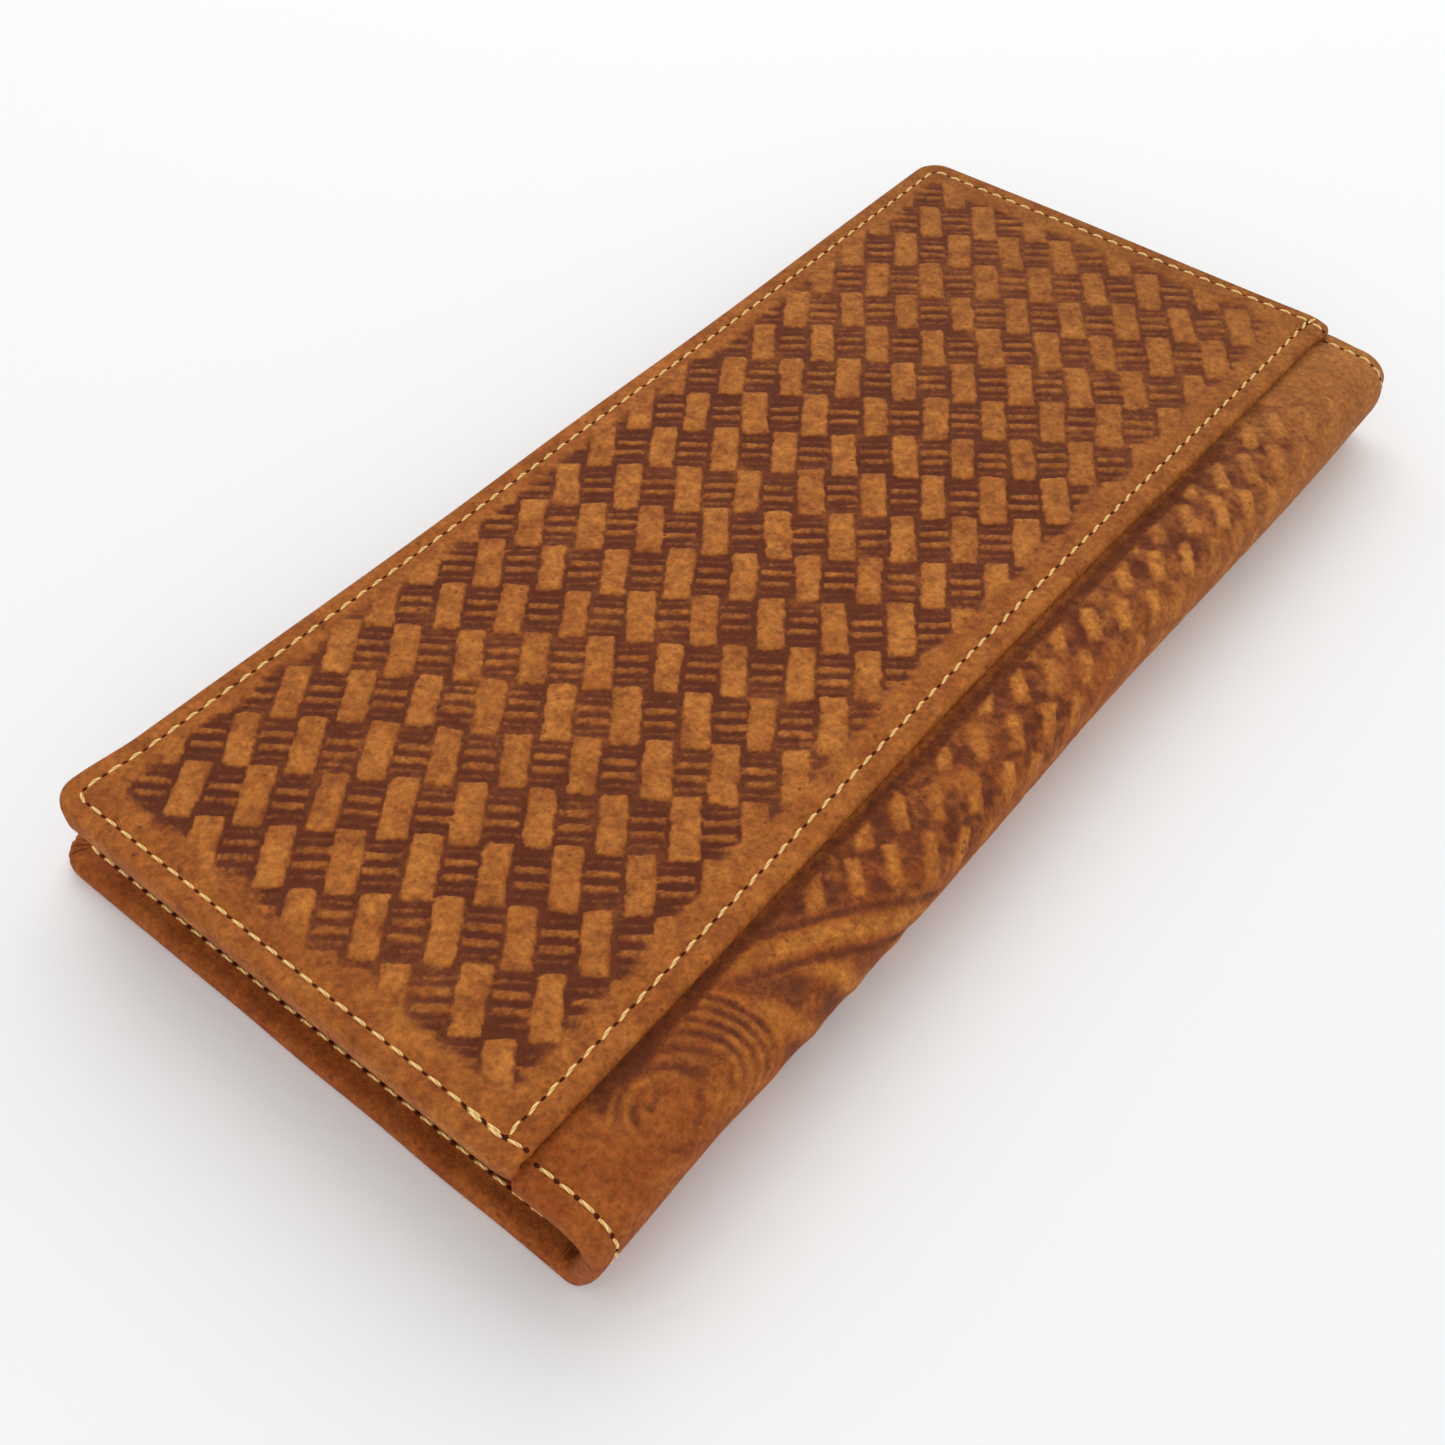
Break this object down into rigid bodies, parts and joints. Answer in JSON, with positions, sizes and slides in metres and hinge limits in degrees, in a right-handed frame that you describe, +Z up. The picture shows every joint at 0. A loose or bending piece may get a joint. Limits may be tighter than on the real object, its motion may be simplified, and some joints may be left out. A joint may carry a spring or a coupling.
{
  "type": "rodeo wallet",
  "caption": "Long western bifold wallet in tooled leather, closed: a two-pivot sprung fold opens it flat on note, card and zipped pockets with an identity window.",
  "frame": {"origin": "centre of the closed wallet's footprint, on the flat underside of the back cover", "axes": "+Y along the wallet's length and its fold, +X towards the folded spine, +Z up from the back half to the front half"},
  "size_m": [0.0916, 0.184, 0.0174],
  "materials": {
    "leather": "distressed mid brown with a worn satin sheen, darker in the tooling",
    "lining": "dark brown twill",
    "thread": "waxed, pale tan",
    "brass": "aged, satin",
    "vinyl": "clear, glossy"
  },
  "bodies": {
    "back": {"back_cover": "leather", "back_lining": "lining", "bill_pocket_panel": "leather", "card_pocket_1": "leather", "card_pocket_2": "leather", "card_pocket_3": "leather", "back_outer_thread": "thread", "back_inner_thread": "thread", "card_pocket_thread": "thread", "card_centre_thread": "thread"},
    "spine": {"spine_leather": "leather", "spine_lining": "lining", "spine_near_thread": "thread", "spine_far_thread": "thread"},
    "front": {"slip_pocket_panel": "leather", "front_cover": "leather", "front_lining": "lining", "front_outer_thread": "thread", "front_inner_thread": "thread", "pocket_mouth_thread": "thread", "zip_pocket_panel": "leather", "zip_tape_left": "lining", "zip_tape_right": "lining", "zip_teeth_left": "brass", "zip_teeth_right": "brass", "zip_stop_near": "brass", "zip_stop_far": "brass", "zip_panel_thread": "thread", "zip_slot_thread": "thread", "id_window_film": "vinyl", "id_window_frame": "leather", "id_window_thread": "thread", "front_card_pocket_1": "leather", "front_card_pocket_2": "leather", "front_card_thread": "thread"},
    "zip": {"zip_slider": "brass", "zip_pull": "brass"}
  },
  "joints": [
    {"name": "spine_fold_back", "type": "hinge", "parent": "back", "child": "spine", "pos_m": [0.04348, 0, 0.00232], "axis": [0, 1, 0], "range_deg": [0, 90]},
    {"name": "spine_fold_front", "type": "hinge", "parent": "spine", "child": "front", "pos_m": [0.0434, 0, 0.015], "axis": [0, 1, 0], "range_deg": [0, 90]},
    {"name": "zip_slide", "type": "slide", "parent": "front", "child": "zip", "axis": [0, -1, 0], "range_m": [0, 0.13]}
  ],
  "couplings": [
    {"joint": "spine_fold_front", "follows": "spine_fold_back", "ratio": 1}
  ]
}
